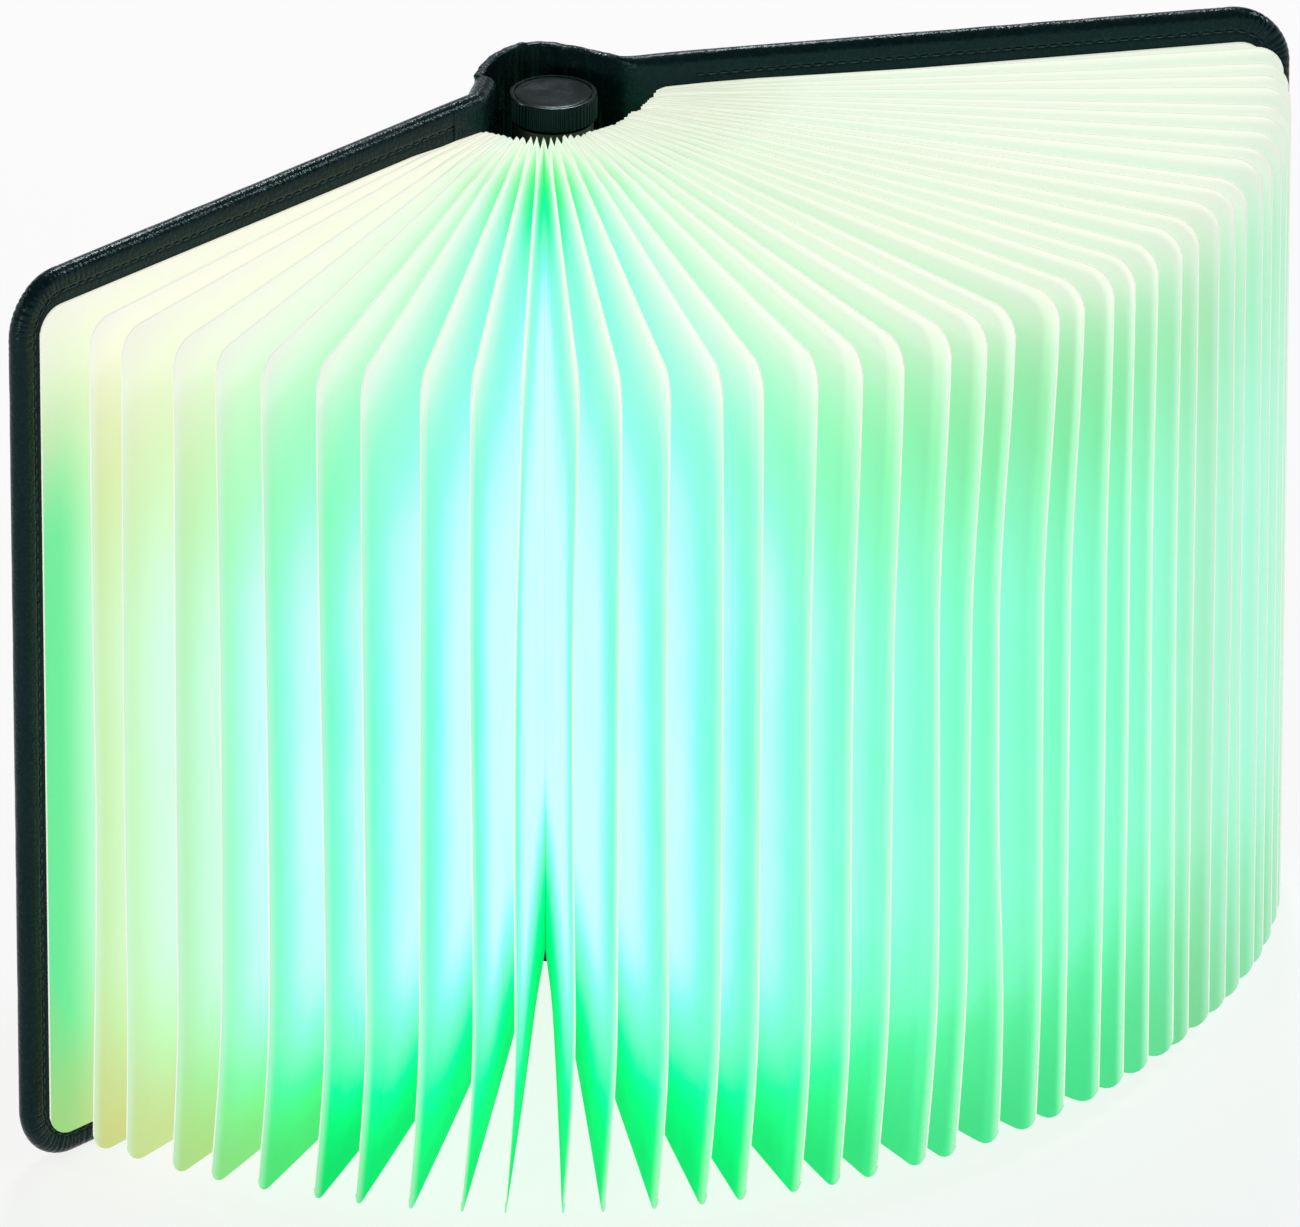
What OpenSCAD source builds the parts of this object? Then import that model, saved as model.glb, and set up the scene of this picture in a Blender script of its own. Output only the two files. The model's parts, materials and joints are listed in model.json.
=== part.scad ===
// Folding book lamp: two stiff covers on a flexible spine, a fan of paper leaves
// between them, and a round light core with a dimmer knob inside the spine.
// The core's foot is at the origin, the leaves fan out towards -Y and +Z is up.

/* [Book] */
// Height of the covers, which is the height of the lamp
book_h = 215; // [190:1:240]
// Angle between the two covers as the lamp stands
open_angle = 145; // [90:1:170]
// Distance from a cover's turning axis to its outer edge
cover_reach = 158; // [130:1:180]
// Thickness of a cover
cover_t = 5; // [4:0.5:6]
// Radius of a cover's outer corners
cover_r = 14; // [6:1:20]
// Distance from a cover's turning axis to its hinge edge
cover_start = 14; // [13.5:0.5:20]

/* [Leaves] */
// Number of folded leaves between the two end sheets
leaf_n = 40; // [10:1:40]
// Thickness of a leaf, which is two sheets of paper
leaf_t = 0.3; // [0.2:0.05:0.3]
// Distance from a leaf's turning axis to its outer fold
leaf_reach = 152; // [120:1:170]
// Distance from a leaf's turning axis to its inner edge
leaf_start = 11.8; // [11.8:0.1:16]
// Border left free between the leaves and the top and bottom of the covers
leaf_border = 6; // [3:0.5:12]
// Radius of a leaf's outer corners
leaf_r = 6; // [3:0.5:12]
// How far the middle leaves lean towards the right cover, as a part of half the opening
leaf_drift = 0.12; // [0:0.01:0.12]
// How unevenly the leaves are spread, as a part of half the opening
leaf_jitter = 0.005; // [0:0.001:0.006]

/* [Fan] */
// Distance of the fan's centre in front of the core's axis
fan_front = 2; // [1.8:0.1:4]
// Distance of the fan's centre to the right of the core's axis
fan_side = 3; // [0:0.1:3]
// Distance from the fan's centre to a cover's turning axis
axis_spread = 9.75; // [9.75:0.05:11]
// Distance of a cover's inner plane from its turning axis
plane_offset = 3.25; // [3.2:0.05:3.4]

/* [Core] */
// Outer radius of the core
core_r = 9; // [9:0.1:9.2]
// Wall of the core's housing and diffuser
core_wall = 1.1; // [1:0.1:1.2]
// Height of the core's housing
core_h = 204.6; // [190:0.2:204.6]
// Diameter of one battery cell
cell_d = 10; // [9:0.5:10]
// Length of one battery cell
cell_l = 44; // [40:1:44]
// Number of battery cells
cell_n = 3; // [2:1:3]
// Number of light-emitting diodes on the strip
led_n = 12; // [6:1:16]

/* [Knob] */
// Radius of the dimmer knob over its ribs
knob_r = 10; // [9:0.1:10]
// Height of the dimmer knob
knob_h = 5.9; // [5.5:0.1:6.5]
// Number of grip ribs round the knob
knob_ribs = 60; // [30:2:72]
// Radius of the dimmer's shaft
shaft_r = 2; // [1.5:0.1:2.2]

/* [Spine] */
// Thickness of the leatherette spine strip
spine_t = 1.1; // [0.8:0.1:1.1]
// How far the spine strip stands out behind the core's axis
spine_depth = 21; // [17:0.5:24]

/* [Hidden] */
$fn = 64;

// Extra length of a solid that cuts, and overlap of two solids that join
cut = 1;
lap = 0.5;

function leaf_name(k) = str("leaf_", k < 10 ? "0" : "", k);

// Opening
half_angle = open_angle / 2;

// Covers
sheet_t = leaf_t;
glue_gap = 0.05;
skin_rim = 9;
hinge_rim = 6;
skin_out = 1.35;
board_t = 3.5;
board_gap = 0.1;
skin_in = plane_offset + sheet_t + glue_gap;
magnet_r = 4;
magnet_t = 2;
magnet_gap = 0.1;
magnet_edge = 17;
magnet_rise = 45;

// Leaves
leaf_top = book_h - leaf_border;
leaf_corner_steps = 4;

// Core
core_in = core_r - core_wall;
foot_t = 4;
head_t = 3.6;
seam_y = -0.9;
seam_gap = 0.1;
rail_w = 1.2;
rail_x = 5.6;
rail_front = -3.65;
rail_h = core_h - head_t - foot_t + 2 * lap;
web_y = 0.6;
led_board_w = 12;
led_board_t = 0.8;
led_board_y = rail_front - 0.1;
led_board_z = 12;
led_board_top = 192;
led_w = 3.5;
led_t = 1.4;
led_lens_r = 1.25;
led_lens_t = 0.5;
cell_y = 2.6;
cell_z = 46;
cell_pitch = cell_l + 1;
cell_pole_r = 2;
cell_pole_h = 0.8;
pcb_w = 10.8;
pcb_t = 1;
pcb_y = -1.4;
pcb_z = 9;
pcb_h = 34;
chip_w = 5;
chip_t = 1.2;
chip_places = [5, 16, 26];

// Charging socket, a small rounded slot in the core's foot
socket_w = 9;
socket_h = 3.3;
socket_l = 7.4;
socket_wall = 0.3;
socket_y = -3.2;
socket_z = 0.4;
socket_gap = 0.1;
tongue_w = 6.6;
tongue_t = 0.7;
tongue_z = 1;
tongue_l = 5.9;

// Dimmer
dimmer_r = 6;
dimmer_h = 8;
dimmer_gap = 0.1;
dimmer_top = core_h - head_t - dimmer_gap;
bush_r = 3.4;
bush_top = core_h + 2.2;
bush_gap = 0.1;
nut_flat = 9;
nut_t = 1.6;
nut_z = core_h + 0.05;
shaft_gap = 0.05;
shaft_z = dimmer_top - dimmer_h + 1.5;
shaft_floor_gap = 0.2;
shaft_top = core_h + 5.2;
knob_z = core_h + 0.8;
knob_lid = 1.9;
knob_recess_r = 6.2;
knob_boss_r = 3.6;
knob_rib_h = 0.45;
knob_root = 0.6;
knob_rim_w = 1.1;
knob_rim_h = 0.5;
knob_lap = 0.1;
knob_boss_gap = 0.3;
knob_bore_end = 0.1;
bore_gap = 0.02;

// Spine strip
spine_lift = 0.6;
spine_end_gap = 0.35;
spine_steps = 14;
spine_end = spine_anchor();
spine_pull = 9.5;
spine_flat = 11;
spine_lean = 12.5;

// Fan geometry

// A leaf's place between the covers, from -1 at the left cover to 1 at the right cover.
function leaf_place(k) = 2 * k / (leaf_n + 1) - 1;

// A leaf's turn as a part of the covers' turn, which is uneven in the standing lamp.
function leaf_turn(k) =
    leaf_place(k) + leaf_drift * (1 - pow(leaf_place(k), 2)) + leaf_jitter * sin(137.5 * k);

// A point of the right cover's local frame, seen from a point behind the fan's centre.
function from_right(x, y) = [
    axis_spread + x * cos(half_angle) - y * sin(half_angle),
    -fan_front + x * sin(half_angle) + y * cos(half_angle)];

// The outer end of the spine strip, at the outer corner of the right cover's hinge edge.
function spine_anchor() = from_right(skin_in + cover_t - spine_t, -cover_start + spine_end_gap);

module turned(place, turn) {
    translate([fan_side + axis_spread * place, -fan_front, 0])
        rotate([0, 0, turn * half_angle])
            children();
}

// Children are drawn for the right side and mirrored for the left one.
module cover_side(side) {
    turned(side, side)
        mirror([side < 0 ? 1 : 0, 0, 0])
            children();
}

// A flat plate whose outline is drawn as reach and height, from x to x + t.
module plate(x, t) {
    translate([x + t, 0, 0])
        rotate([90, 0, -90])
            linear_extrude(t)
                children();
}

function corner(cx, cy, r, a, steps) =
    [for (i = [0 : steps]) [cx + r * cos(a + 90 * i / steps), cy + r * sin(a + 90 * i / steps)]];

module leaf_outline() {
    polygon(concat(
        [[leaf_start, leaf_top], [leaf_start, leaf_border]],
        corner(leaf_reach - leaf_r, leaf_border + leaf_r, leaf_r, -90, leaf_corner_steps),
        corner(leaf_reach - leaf_r, leaf_top - leaf_r, leaf_r, 0, leaf_corner_steps)));
}

module cover_outline(inset, hinge_inset, r) {
    near = cover_start + hinge_inset;
    far = cover_reach - inset;
    translate([near, inset])
        square([far - r - near, book_h - 2 * inset]);
    translate([far - r - lap, inset + r])
        square([r + lap, book_h - 2 * (inset + r)]);
    for (z = [inset + r, book_h - inset - r])
        translate([far - r, z])
            circle(r);
}

// Covers

module cover_skin(side) {
    color([0.07, 0.09, 0.10])
        cover_side(side)
            difference() {
                plate(skin_in, cover_t)
                    cover_outline(0, 0, cover_r);
                plate(skin_in - cut, cut + cover_t - skin_out)
                    cover_outline(skin_rim, hinge_rim, cover_r / 2);
            }
}

module magnet_places() {
    for (z = [magnet_rise, book_h - magnet_rise])
        translate([0, -(cover_reach - magnet_edge), z])
            rotate([0, 90, 0])
                children();
}

module cover_board(side) {
    color([0.55, 0.48, 0.38])
        cover_side(side)
            difference() {
                plate(skin_in + glue_gap, board_t)
                    cover_outline(skin_rim + board_gap, hinge_rim + board_gap, cover_r / 2);
                translate([skin_in - cut, 0, 0])
                    magnet_places()
                        cylinder(h = board_t + glue_gap + 2 * cut, r = magnet_r + magnet_gap);
            }
}

module magnets(side) {
    color([0.75, 0.76, 0.78])
        cover_side(side)
            translate([skin_in + board_t - magnet_t, 0, 0])
                magnet_places()
                    cylinder(h = magnet_t, r = magnet_r);
}

module end_sheet(side) {
    color([0.93, 0.95, 0.90])
        cover_side(side)
            plate(plane_offset, sheet_t)
                leaf_outline();
}

// Leaves

module page_leaf(k) {
    color([0.85, 0.96, 0.92])
        turned(leaf_place(k), leaf_turn(k))
            plate(plane_offset * leaf_place(k) - leaf_t / 2, leaf_t)
                leaf_outline();
}

// Spine strip

// Points of a cubic curve from a to d, pulled towards b and c.
function curve(a, b, c, d, n) =
    [for (i = [0 : n]) let (t = i / n, s = 1 - t)
        a * s * s * s + b * 3 * s * s * t + c * 3 * s * t * t + d * t * t * t];

function spine_half(grow) =
    curve([0, spine_depth + grow], [spine_pull + grow, spine_depth + grow],
          [spine_lean + grow, spine_flat], spine_end + [grow * cos(half_angle), grow * sin(half_angle)],
          spine_steps);

function flipped(points) =
    [for (i = [len(points) - 1 : -1 : 1]) [-points[i][0], points[i][1]]];

module spine_strip() {
    outer = spine_half(0);
    inner = spine_half(-spine_t);
    color([0.07, 0.09, 0.10])
        translate([fan_side, 0, spine_lift])
            linear_extrude(book_h - spine_lift)
                difference() {
                    polygon(concat(flipped(outer), outer));
                    polygon(concat(flipped(inner), inner));
                }
}

// Core

module core_housing() {
    color([0.10, 0.10, 0.11])
        difference() {
            union() {
                cylinder(h = foot_t, r = core_r);
                translate([0, 0, core_h - head_t])
                    cylinder(h = head_t, r = core_r);
                intersection() {
                    difference() {
                        cylinder(h = core_h, r = core_r);
                        translate([0, 0, -cut])
                            cylinder(h = core_h + 2 * cut, r = core_in);
                    }
                    translate([-core_r - cut, seam_y, 0])
                        cube([2 * (core_r + cut), core_r + 2 * cut, core_h]);
                }
                for (x = [rail_x, -rail_x - rail_w])
                    translate([x, rail_front, foot_t - lap])
                        cube([rail_w, web_y - rail_front, rail_h]);
                for (x = [rail_x, -core_in - lap])
                    translate([x, seam_y, foot_t - lap])
                        cube([core_in + lap - rail_x, web_y - seam_y, rail_h]);
            }
            translate([0, 0, core_h - head_t - cut])
                cylinder(h = head_t + 2 * cut, r = bush_r + bush_gap);
            translate([0, socket_y, -cut])
                socket_slot(socket_gap, foot_t + 2 * cut);
            translate([0, 0, dimmer_top - dimmer_h - cut])
                cylinder(h = dimmer_h + cut + dimmer_gap, r = dimmer_r + dimmer_gap);
        }
}

module core_diffuser() {
    color([0.95, 0.97, 0.93])
        translate([0, 0, foot_t + seam_gap])
            difference() {
                cylinder(h = core_h - head_t - foot_t - 2 * seam_gap, r = core_r);
                translate([0, 0, -cut])
                    cylinder(h = core_h, r = core_in);
                translate([-core_r - cut, seam_y - seam_gap, -cut])
                    cube([2 * (core_r + cut), 2 * core_r, core_h]);
            }
}

module led_board() {
    color([0.92, 0.93, 0.92])
        translate([-led_board_w / 2, led_board_y - led_board_t, led_board_z])
            cube([led_board_w, led_board_t, led_board_top - led_board_z]);
}

module led_lights() {
    pitch = (led_board_top - led_board_z) / led_n;
    color([0.98, 0.95, 0.75])
        for (i = [0 : led_n - 1])
            translate([-led_w / 2, led_board_y - led_board_t - led_t,
                       led_board_z + (i + 0.5) * pitch - led_w / 2])
                difference() {
                    cube([led_w, led_t, led_w]);
                    translate([led_w / 2, led_lens_t, led_w / 2])
                        rotate([90, 0, 0])
                            cylinder(h = led_lens_t + cut, r = led_lens_r);
                }
}

module battery_cells() {
    color([0.20, 0.45, 0.70])
        for (i = [0 : cell_n - 1])
            translate([0, cell_y, cell_z + i * cell_pitch]) {
                cylinder(h = cell_l - cell_pole_h, r = cell_d / 2);
                translate([0, 0, cell_l - cell_pole_h - lap])
                    cylinder(h = cell_pole_h + lap, r = cell_pole_r);
            }
}

module control_board() {
    color([0.10, 0.40, 0.25])
        translate([-pcb_w / 2, pcb_y, pcb_z]) {
            cube([pcb_w, pcb_t, pcb_h]);
            for (z = chip_places)
                translate([(pcb_w - chip_w) / 2, pcb_t - lap, z])
                    cube([chip_w, chip_t + lap, chip_w]);
        }
}

module socket_slot(grow, h) {
    r = socket_h / 2 + grow;
    reach = (socket_w - socket_h) / 2;
    translate([-reach, -r, 0])
        cube([2 * reach, 2 * r, h]);
    for (x = [-reach, reach])
        translate([x, 0, 0])
            cylinder(h = h, r = r);
}

module charging_socket() {
    color([0.70, 0.71, 0.73])
        translate([0, socket_y, socket_z]) {
            difference() {
                socket_slot(0, socket_l);
                translate([0, 0, -cut])
                    socket_slot(-socket_wall, socket_l);
            }
            translate([-tongue_w / 2, -tongue_t / 2, tongue_z])
                cube([tongue_w, tongue_t, tongue_l]);
        }
}

// Dimmer

module dimmer_body() {
    color([0.45, 0.46, 0.48])
        difference() {
            union() {
                translate([0, 0, dimmer_top - dimmer_h])
                    cylinder(h = dimmer_h, r = dimmer_r);
                translate([0, 0, dimmer_top - lap])
                    cylinder(h = bush_top - dimmer_top + lap, r = bush_r);
            }
            translate([0, 0, shaft_z - shaft_floor_gap])
                cylinder(h = bush_top, r = shaft_r + shaft_gap);
        }
}

module dimmer_nut() {
    color([0.80, 0.78, 0.70])
        translate([0, 0, nut_z])
            difference() {
                cylinder(h = nut_t, r = nut_flat / 2 / cos(30), $fn = 6);
                translate([0, 0, -cut])
                    cylinder(h = nut_t + 2 * cut, r = bush_r + bore_gap);
            }
}

module dimmer_shaft() {
    color([0.80, 0.80, 0.82])
        translate([0, 0, shaft_z])
            cylinder(h = shaft_top - shaft_z, r = shaft_r);
}

// Two points on each rib and two in each groove make the knurled outline.
module knurl() {
    step = 360 / knob_ribs;
    polygon([for (i = [0 : knob_ribs - 1], j = [0 : 3])
        let (a = i * step + j * step / 4, r = j < 2 ? knob_r : knob_r - knob_rib_h)
            [r * cos(a), r * sin(a)]]);
}

module dimmer_knob() {
    lid_z = knob_h - knob_lid;
    color([0.05, 0.05, 0.06])
        translate([0, 0, knob_z])
            difference() {
                union() {
                    linear_extrude(knob_h - knob_rim_h)
                        knurl();
                    translate([0, 0, knob_h - knob_rim_h - knob_lap])
                        cylinder(h = knob_rim_h + knob_lap,
                                 r1 = knob_r - knob_root, r2 = knob_r - knob_rim_w);
                }
                difference() {
                    translate([0, 0, -cut])
                        cylinder(h = lid_z + cut, r = knob_recess_r);
                    translate([0, 0, bush_top - knob_z + knob_boss_gap])
                        cylinder(h = lid_z, r = knob_boss_r);
                }
                translate([0, 0, -cut])
                    cylinder(h = shaft_top - knob_z + cut + knob_bore_end, r = shaft_r + bore_gap);
            }
}

core_housing();
core_diffuser();
led_board();
led_lights();
battery_cells();
control_board();
charging_socket();
dimmer_body();
dimmer_nut();
dimmer_shaft();
dimmer_knob();
spine_strip();
cover_skin(-1);  // left_cover_skin
cover_board(-1);  // left_cover_board
magnets(-1);  // left_magnets
end_sheet(-1);  // left_end_sheet
cover_skin(1);  // right_cover_skin
cover_board(1);  // right_cover_board
magnets(1);  // right_magnets
end_sheet(1);  // right_end_sheet
for (k = [1 : leaf_n])
    page_leaf(k);
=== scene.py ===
import json
import math
import random
from itertools import accumulate

import bmesh
import bpy
from bpy.props import FloatProperty, FloatVectorProperty, IntProperty, PointerProperty
from bpy.types import Operator, Panel, PropertyGroup
from mathutils import Matrix, Vector, noise


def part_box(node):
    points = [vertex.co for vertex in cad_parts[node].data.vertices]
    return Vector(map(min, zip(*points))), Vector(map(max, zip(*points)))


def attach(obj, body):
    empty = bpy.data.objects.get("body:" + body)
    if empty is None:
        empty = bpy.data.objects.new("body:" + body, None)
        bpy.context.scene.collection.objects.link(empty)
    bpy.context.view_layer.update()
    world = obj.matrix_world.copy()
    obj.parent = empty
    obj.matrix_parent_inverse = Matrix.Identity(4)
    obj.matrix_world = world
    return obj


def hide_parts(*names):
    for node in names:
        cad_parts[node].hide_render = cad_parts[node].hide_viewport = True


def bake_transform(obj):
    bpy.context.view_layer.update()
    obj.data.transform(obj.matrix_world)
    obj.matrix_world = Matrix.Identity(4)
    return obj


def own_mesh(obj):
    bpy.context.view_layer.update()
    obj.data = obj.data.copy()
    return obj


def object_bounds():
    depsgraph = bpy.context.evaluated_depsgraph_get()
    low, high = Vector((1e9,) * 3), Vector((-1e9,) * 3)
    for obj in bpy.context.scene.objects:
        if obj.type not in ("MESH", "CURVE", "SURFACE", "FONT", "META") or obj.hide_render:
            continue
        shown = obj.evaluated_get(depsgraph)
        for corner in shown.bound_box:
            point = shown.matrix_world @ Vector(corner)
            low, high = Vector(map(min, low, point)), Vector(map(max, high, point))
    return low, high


bl_info = {
    "name": "Folding Book Lamp",
    "version": (1, 0, 0),
    "blender": (4, 5, 0),
    "location": "View3D > Sidebar > Book Lamp",
    "description": "Builds the paper leaves, covers, spine, knob and stage of a folding book lamp",
    "category": "Add Mesh",
}

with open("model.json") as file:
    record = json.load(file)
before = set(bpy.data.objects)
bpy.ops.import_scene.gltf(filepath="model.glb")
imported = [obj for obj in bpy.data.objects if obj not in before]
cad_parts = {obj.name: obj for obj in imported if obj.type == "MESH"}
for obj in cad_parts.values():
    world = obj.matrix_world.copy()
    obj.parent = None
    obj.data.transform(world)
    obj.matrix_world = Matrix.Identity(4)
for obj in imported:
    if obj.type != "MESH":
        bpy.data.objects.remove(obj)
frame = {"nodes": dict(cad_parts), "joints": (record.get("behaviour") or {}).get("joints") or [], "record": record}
cad_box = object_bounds()

MM = 0.001
JOINTS = {joint["name"]: joint for joint in frame["joints"]}
RATIOS = {c["joint"]: c["ratio"] for c in frame["record"]["behaviour"]["couplings"]}
HALF_ANGLE = math.radians(-JOINTS["right_cover_open"]["range_deg"][0])
LEAF_NODES = sorted(name for name in frame["nodes"] if name.startswith("leaf_"))
SIDES = {"left": -1, "right": 1}
LAMP_HEIGHT = cad_box[1].z


def srgb(red, green, blue):
    """A display colour, 0 to 255, as the linear colour with alpha that the nodes take."""
    def linear(value):
        value /= 255
        return value / 12.92 if value <= 0.04045 else ((value + 0.055) / 1.055) ** 2.4
    return (linear(red), linear(green), linear(blue), 1.0)


def smoothstep(low, high, value):
    share = min(1.0, max(0.0, (value - low) / (high - low)))
    return share * share * (3 - 2 * share)


def length(name, description, millimetres):
    return FloatProperty(name=name, description=description, default=millimetres * MM,
                         unit="LENGTH", precision=5)


def angle(name, description, degrees):
    return FloatProperty(name=name, description=description, default=math.radians(degrees),
                         subtype="ANGLE")


def colour(name, description, *display):
    return FloatVectorProperty(name=name, description=description, subtype="COLOR", size=4,
                               min=0, max=1, default=srgb(*display))


# Settings

class LeafSettings(PropertyGroup):
    corner: length("Corner", "Radius of a leaf's outer corners", 6.5)
    flare: length("Flare", "How far the two sheets of a leaf part at its inner fold", 0.5)
    flare_run: length("Flare run", "Length over which the two sheets part", 32)
    valley: length("Valley", "How far the top sinks between the two sheets inside", 3.0)
    touch: length("Touch", "How far neighbouring leaves press on each other inside", 0.02)
    top_lean: length("Top lean", "How far the tops of the leaves lean to the right", 4.2)
    foot_lean: length("Foot lean", "How far the feet of the leaves lean to the left", 4.6)
    wave: length("Wave", "Uneven bow of each leaf", 0.55)
    inner_drop: length("Inner drop", "How far a leaf's top slopes down towards the knob", 1.7)
    right_reach: length("Right reach", "How much further the leaves by the right cover reach", 2.8)
    sheet_drop: length("Sheet drop", "How far below the leaves' tops the end sheets end", 1.5)
    columns: IntProperty(name="Columns", description="Mesh columns along a leaf", default=12)
    rows: IntProperty(name="Rows", description="Mesh rows up a leaf", default=44)
    seed: IntProperty(name="Seed", description="Seed of the uneven bows", default=7)


# Painted light and shade: apart from beige, these colours paint into the paper's colour and emission the core's
# glow through the paper, the light from above near the leaves' tops, a highlight along the outer fold and shade
# along the edges.
class PaperSettings(PropertyGroup):
    cream: colour("Cream", "Paper where the lamp's own light is weak", 253, 252, 243)
    # Fold is a painted highlight on the round of the outer fold. Edge is a painted shade line under the cut top
    # and just inside the fold.
    fold: colour("Fold", "Thin line along the outer fold", 250, 251, 244)
    edge: colour("Edge", "Thin shaded line along the cut edges", 196, 214, 186)
    foot: colour("Foot", "Lit paper at the foot of the middle leaves", 0, 232, 128)
    green: colour("Green", "Lit paper a little above the foot", 0, 251, 148)
    teal: colour("Teal", "Lit paper where the foot's green turns bluish", 20, 254, 184)
    mint: colour("Mint", "Lit paper between the folds", 128, 254, 212)
    cyan: colour("Cyan", "Lit paper deeper between the folds", 158, 254, 245)
    bright: colour("Bright", "Lit paper nearest the core", 214, 255, 254)
    right_foot: colour("Right foot", "Foot of the leaves to the right of the middle", 84, 230, 156)
    right_low: colour("Right low", "A little above their foot", 108, 244, 180)
    right_mid: colour("Right middle", "Middle of these leaves", 138, 252, 208)
    right_bright: colour("Right bright", "Brightest part of these leaves", 162, 254, 232)
    far_foot: colour("Far foot", "Foot of the leaves by the right cover", 150, 232, 182)
    far_mid: colour("Far middle", "Leaves by the right cover", 182, 251, 224)
    far_bright: colour("Far bright", "Brightest part by the right cover", 206, 254, 244)
    left_foot: colour("Left foot", "Foot of the leaves by the left cover", 218, 229, 166)
    left_mid: colour("Left middle", "Leaves by the left cover", 212, 249, 202)
    left_bright: colour("Left bright", "Brightest part by the left cover", 222, 254, 238)
    wash: colour("Wash", "Lit paper near the top edge", 184, 252, 216)
    centre_wash: colour("Centre wash", "The same in front of the core", 168, 254, 236)
    right_wash: colour("Right wash", "The same to the right of the middle", 166, 238, 186)
    far_wash: colour("Far wash", "The same by the right cover", 192, 248, 216)
    left_wash: colour("Left wash", "The same by the left cover", 226, 242, 196)
    beige: colour("Beige", "What the more beige leaves are multiplied with", 250, 225, 190)
    end_foot: colour("End foot", "Foot of the left end sheet", 170, 222, 146)
    end_mid: colour("End middle", "Middle of the left end sheet", 116, 238, 166)
    end_top: colour("End top", "Top of the left end sheet", 206, 238, 190)
    # Painted highlight next to the outer fold.
    crest: colour("Crest", "Paper next to the outer fold", 222, 254, 236)
    emission: FloatProperty(name="Light", description="Strength of the light through the paper",
                            default=0.6, min=0)
    # Painted light set for one view: the heading sits near the camera's.
    heading: angle("Heading", "Heading of the leaves that glow deepest", -28.0)


class CoverSettings(PropertyGroup):
    corner: length("Corner", "Radius of a cover's outer corners", 14)
    hinge_corner: length("Hinge corner", "Radius of a cover's corners at the spine", 1.5)
    roll: length("Roll", "Radius of the rolled edge", 2.5)
    groove: length("Groove", "Depth of the stitched groove", 0.4)
    inner_seam: length("Inner seam", "Distance of the inner seam from the edge", 4.9)
    outer_seam: length("Outer seam", "Distance of the outer seam from the edge", 6.4)
    pleat: length("Pleat", "Height of the gathered pleats at the corners", 0.42)
    pleat_pitch: length("Pleat pitch", "Distance from pleat to pleat", 1.7)
    stitch: length("Stitch", "Length of one stitch", 1.9)
    stitch_pitch: length("Stitch pitch", "Distance from stitch to stitch", 2.7)
    thread: length("Thread", "Radius of the thread", 0.21)


class SpineSettings(PropertyGroup):
    thickness: length("Thickness", "Thickness of the spine strip", 1.1)
    hem: length("Hem", "Radius of the strip's turned hems", 1.0)
    crinkle: length("Crinkle", "Height of the strip's creases", 0.8)
    bend: length("Bend", "Distance from the right cover's axis at which the strip bends", 3.5)
    overlap: length("Overlap", "How far the strip runs on along a cover", 7)
    steps: IntProperty(name="Steps", description="Mesh columns along half of the strip", default=120)


class KnobSettings(PropertyGroup):
    ribs: IntProperty(name="Ribs", description="Grip ribs round the knob", default=60)
    rib_height: length("Rib height", "How far a rib stands out", 0.45)
    rim: length("Rim", "Width of the ring round the knob's top", 0.55)
    dish: length("Dish", "Depth of the groove inside the ring", 0.4)


class StageSettings(PropertyGroup):
    azimuth: angle("Azimuth", "Turn of the camera about the lamp", -29.104)
    elevation: angle("Elevation", "Tilt of the camera above the floor", 24.716)
    roll: angle("Roll", "Roll of the camera", 0.019)
    distance: length("Distance", "Camera to lamp", 4808)
    focal: FloatProperty(name="Focal length", description="Lens in millimetres", default=592.09)
    shift_x: FloatProperty(name="Shift X", description="Sideways shift of the lens", default=-0.0085,
                           precision=4)
    shift_y: FloatProperty(name="Shift Y", description="Upward shift of the lens", default=-0.011,
                           precision=4)
    floor: length("Floor", "Half the width of the floor", 6000)
    fill: FloatProperty(name="Fill", description="Light of the world on the lamp", default=0.75)
    white: colour("White", "Floor and backdrop", 255, 255, 255)


# Nodes

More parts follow.
